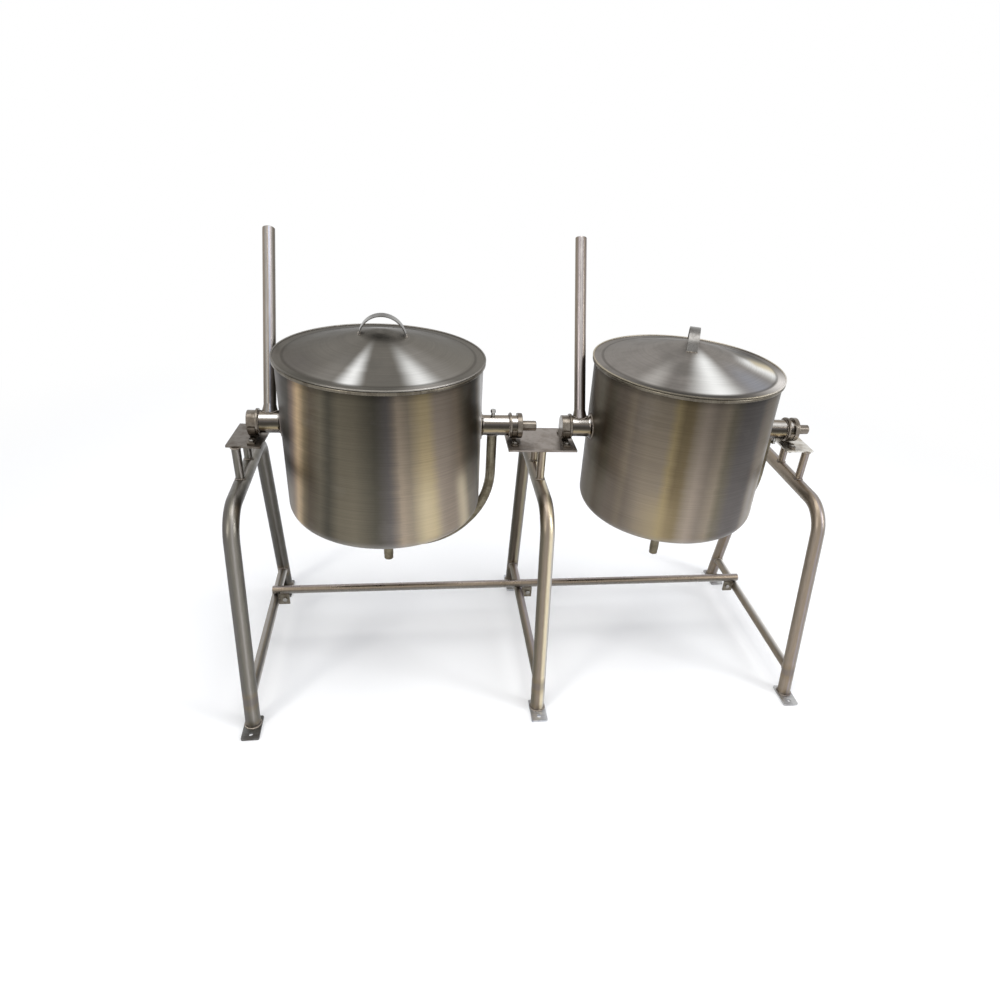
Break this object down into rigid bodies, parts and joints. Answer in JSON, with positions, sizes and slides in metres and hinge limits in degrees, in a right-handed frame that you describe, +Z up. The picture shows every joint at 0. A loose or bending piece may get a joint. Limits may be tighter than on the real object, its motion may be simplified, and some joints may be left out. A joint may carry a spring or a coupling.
{
  "type": "twin tilting steam jacketed kettle",
  "caption": "Pair of tilting steam jacketed kettles with lift-off lids and tilt handles, hung on trunnions in open cradles on one shared bent-tube stand.",
  "frame": {"origin": "on the floor under the middle frame, at the centre of the base rectangle that the foot plates span", "axes": "+X along both trunnions towards the steam ends, +Y to the back of the stand, +Z up; the tilt handles are on the -X side of each kettle and the kettles pour towards -Y"},
  "size_m": [1.5761, 0.711, 1.1868],
  "materials": {
    "bowl_steel": "bright satin",
    "fastener_steel": "bright",
    "handle_steel": "satin",
    "jacket_steel": "satin, fine grain round the wall",
    "lid_steel": "dull satin, grain round the cone",
    "pipe_steel": "satin",
    "plate_steel": "matt, mill finish",
    "rim_steel": "satin",
    "trunnion_steel": "polished",
    "tube_steel": "dull satin, worn"
  },
  "bodies": {
    "stand": {"clip_bolts": "fastener_steel", "clip_ears": "plate_steel", "clip_nuts": "fastener_steel", "clip_tabs": "plate_steel", "cradle_bolts": "fastener_steel", "cradle_left_handle": "plate_steel", "cradle_left_steam": "plate_steel", "cradle_nuts": "fastener_steel", "cradle_right_handle": "plate_steel", "cradle_right_steam": "plate_steel", "cross_tube": "tube_steel", "feet_left": "plate_steel", "feet_middle": "plate_steel", "feet_right": "plate_steel", "frame_left": "tube_steel", "frame_middle": "tube_steel", "frame_right": "tube_steel", "posts_left": "tube_steel", "posts_middle": "tube_steel", "posts_right": "tube_steel", "spreader_left": "tube_steel", "spreader_middle": "tube_steel", "spreader_right": "tube_steel", "top_plate_left": "plate_steel", "top_plate_middle": "plate_steel", "top_plate_right": "plate_steel"},
    "left_kettle": {"left_bowl": "bowl_steel", "left_collars": "trunnion_steel", "left_drain_stub": "pipe_steel", "left_handle_plug": "handle_steel", "left_handle_trunnion": "trunnion_steel", "left_jacket": "jacket_steel", "left_journal_cap": "trunnion_steel", "left_rim_ring": "rim_steel", "left_siphon_pipe": "pipe_steel", "left_steam_flange": "trunnion_steel", "left_steam_nipple": "pipe_steel", "left_steam_trunnion": "trunnion_steel", "left_tilt_handle": "handle_steel", "left_vent_plug": "pipe_steel"},
    "right_kettle": {"right_bowl": "bowl_steel", "right_collars": "trunnion_steel", "right_drain_stub": "pipe_steel", "right_handle_plug": "handle_steel", "right_handle_trunnion": "trunnion_steel", "right_jacket": "jacket_steel", "right_journal_cap": "trunnion_steel", "right_rim_ring": "rim_steel", "right_siphon_pipe": "pipe_steel", "right_steam_flange": "trunnion_steel", "right_steam_nipple": "pipe_steel", "right_steam_trunnion": "trunnion_steel", "right_tilt_handle": "handle_steel", "right_vent_plug": "pipe_steel"},
    "left_lid": {"left_lid": "lid_steel", "left_lid_handle": "lid_steel"},
    "right_lid": {"right_lid": "lid_steel", "right_lid_handle": "lid_steel"}
  },
  "joints": [
    {"name": "left_tilt", "type": "hinge", "parent": "stand", "child": "left_kettle", "pos_m": [-0.4105, 0.0095, 0.736], "axis": [1, 0, 0], "range_deg": [0, 100]},
    {"name": "right_tilt", "type": "hinge", "parent": "stand", "child": "right_kettle", "pos_m": [0.386, 0.0095, 0.736], "axis": [1, 0, 0], "range_deg": [0, 100]},
    {"name": "left_lid_lift", "type": "slide", "parent": "left_kettle", "child": "left_lid", "axis": [0, 0, 1], "range_m": [0, 0.3]},
    {"name": "right_lid_lift", "type": "slide", "parent": "right_kettle", "child": "right_lid", "axis": [0, 0, 1], "range_m": [0, 0.3]}
  ]
}
